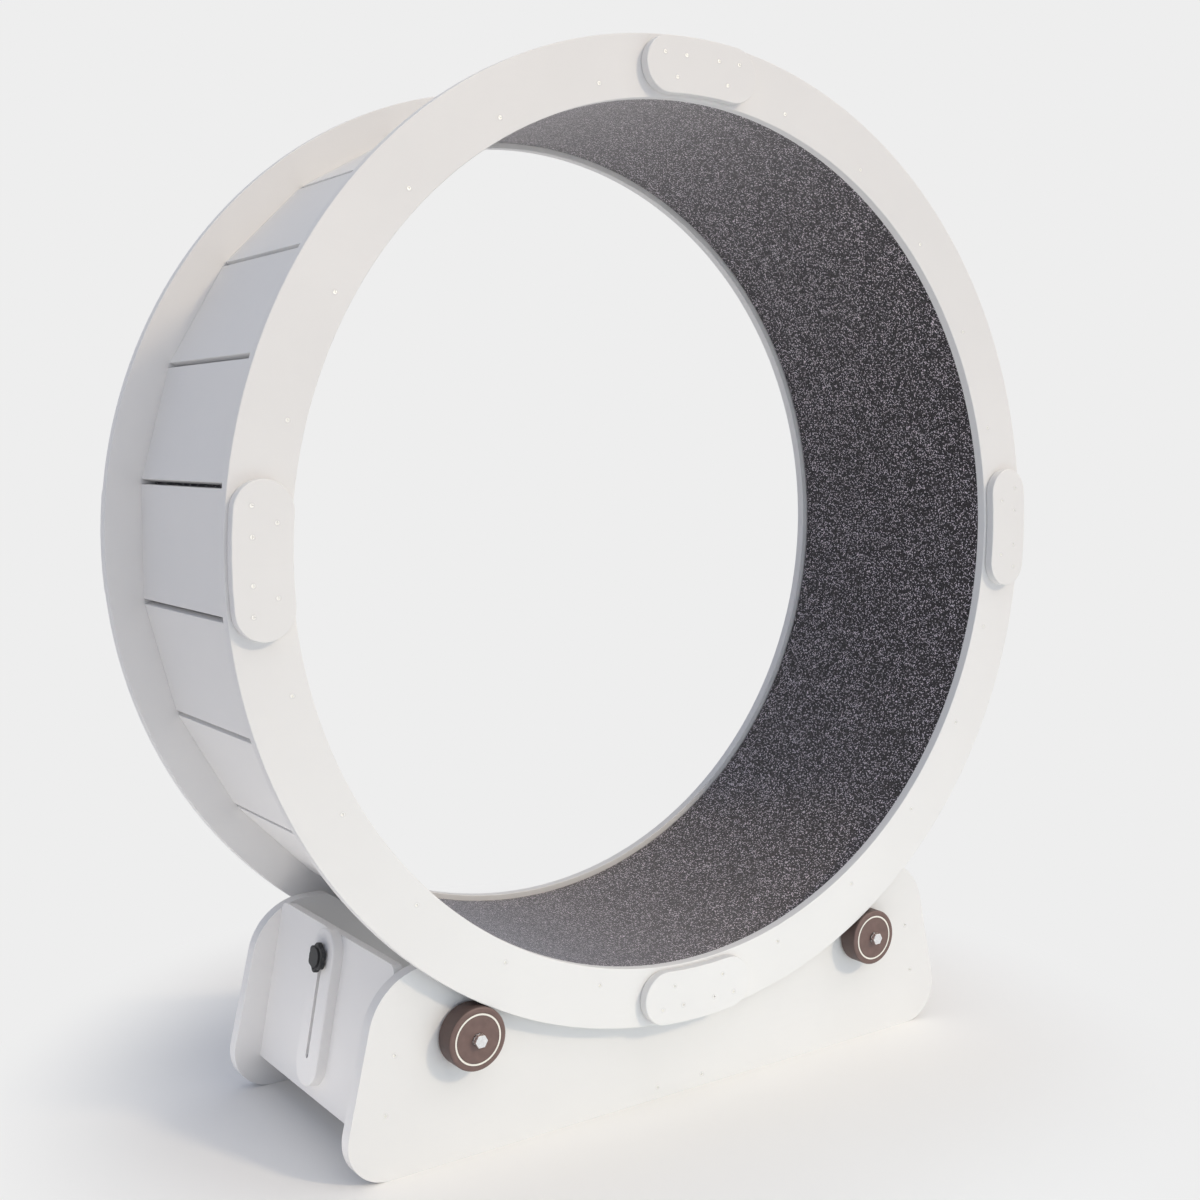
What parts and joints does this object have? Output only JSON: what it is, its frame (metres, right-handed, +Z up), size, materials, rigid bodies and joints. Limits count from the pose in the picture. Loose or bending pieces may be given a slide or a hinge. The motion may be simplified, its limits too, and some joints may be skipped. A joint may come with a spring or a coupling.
{
  "type": "cat exercise wheel",
  "caption": "Free-standing exercise wheel for a cat: a slatted drum lined with carpet between two board rings, turning on rubber rollers over a low board cradle with a sliding brake.",
  "frame": {"origin": "on the floor under the middle of the wheel", "axes": "+Z up, the wheel's axis along Y, the pictured face towards -Y, the brake at the -X end"},
  "size_m": [1.1, 0.384, 1.196],
  "materials": {
    "board": "warm white painted board, satin",
    "carpet": "dark grey heather loop carpet",
    "steel": "zinc-plated, bright",
    "tyre": "brown cast polyurethane, matt",
    "hub": "cream nylon",
    "knob": "black, matt"
  },
  "bodies": {
    "base": {"front_side_panel": "board", "back_side_panel": "board", "left_end_board": "board", "right_end_board": "board", "cross_board": "board", "base_screws": "steel", "axle_bolts": "steel", "axle_bushes": "steel", "axle_washers": "steel", "axle_nuts": "steel", "axle_bearings": "steel", "brake_bolt": "steel"},
    "wheel": {"front_ring_arc_1": "board", "front_ring_arc_2": "board", "front_ring_arc_3": "board", "front_ring_arc_4": "board", "back_ring_arc_1": "board", "back_ring_arc_2": "board", "back_ring_arc_3": "board", "back_ring_arc_4": "board", "front_splice_plates": "board", "back_splice_plates": "board", "slat_01": "board", "slat_02": "board", "slat_03": "board", "slat_04": "board", "slat_05": "board", "slat_06": "board", "slat_07": "board", "slat_08": "board", "slat_09": "board", "slat_10": "board", "slat_11": "board", "slat_12": "board", "slat_13": "board", "slat_14": "board", "slat_15": "board", "slat_16": "board", "slat_17": "board", "slat_18": "board", "slat_19": "board", "slat_20": "board", "slat_21": "board", "slat_22": "board", "slat_23": "board", "slat_24": "board", "carpet_lining": "carpet", "slat_screws": "steel", "splice_screws": "steel"},
    "front_left_roller": {"front_left_tyre": "tyre", "front_left_hub": "hub"},
    "front_right_roller": {"front_right_tyre": "tyre", "front_right_hub": "hub"},
    "back_left_roller": {"back_left_tyre": "tyre", "back_left_hub": "hub"},
    "back_right_roller": {"back_right_tyre": "tyre", "back_right_hub": "hub"},
    "brake_plate": {"brake_plate": "board"},
    "brake_knob": {"brake_knob": "knob"}
  },
  "joints": [
    {"name": "wheel_spin", "type": "hinge", "parent": "base", "child": "wheel", "pos_m": [0, 0, 0.646], "axis": [0, 1, 0], "continuous": true},
    {"name": "front_left_roller_spin", "type": "hinge", "parent": "base", "child": "front_left_roller", "pos_m": [-0.28701, -0.1715, 0.13705], "axis": [0, 1, 0], "continuous": true},
    {"name": "front_right_roller_spin", "type": "hinge", "parent": "base", "child": "front_right_roller", "pos_m": [0.28701, -0.1715, 0.13705], "axis": [0, 1, 0], "continuous": true},
    {"name": "back_left_roller_spin", "type": "hinge", "parent": "base", "child": "back_left_roller", "pos_m": [-0.28701, 0.1715, 0.13705], "axis": [0, 1, 0], "continuous": true},
    {"name": "back_right_roller_spin", "type": "hinge", "parent": "base", "child": "back_right_roller", "pos_m": [0.28701, 0.1715, 0.13705], "axis": [0, 1, 0], "continuous": true},
    {"name": "brake_slide", "type": "slide", "parent": "base", "child": "brake_plate", "axis": [0.1783, 0, 0.984], "range_m": [0, 0.0516]},
    {"name": "brake_knob_turn", "type": "hinge", "parent": "base", "child": "brake_knob", "pos_m": [-0.36563, 0, 0.18996], "axis": [-0.984, 0, 0.1783], "range_deg": [0, 360]}
  ],
  "couplings": [
    {"joint": "front_left_roller_spin", "follows": "wheel_spin", "ratio": -16.177},
    {"joint": "front_right_roller_spin", "follows": "wheel_spin", "ratio": -16.177},
    {"joint": "back_left_roller_spin", "follows": "wheel_spin", "ratio": -16.177},
    {"joint": "back_right_roller_spin", "follows": "wheel_spin", "ratio": -16.177}
  ]
}
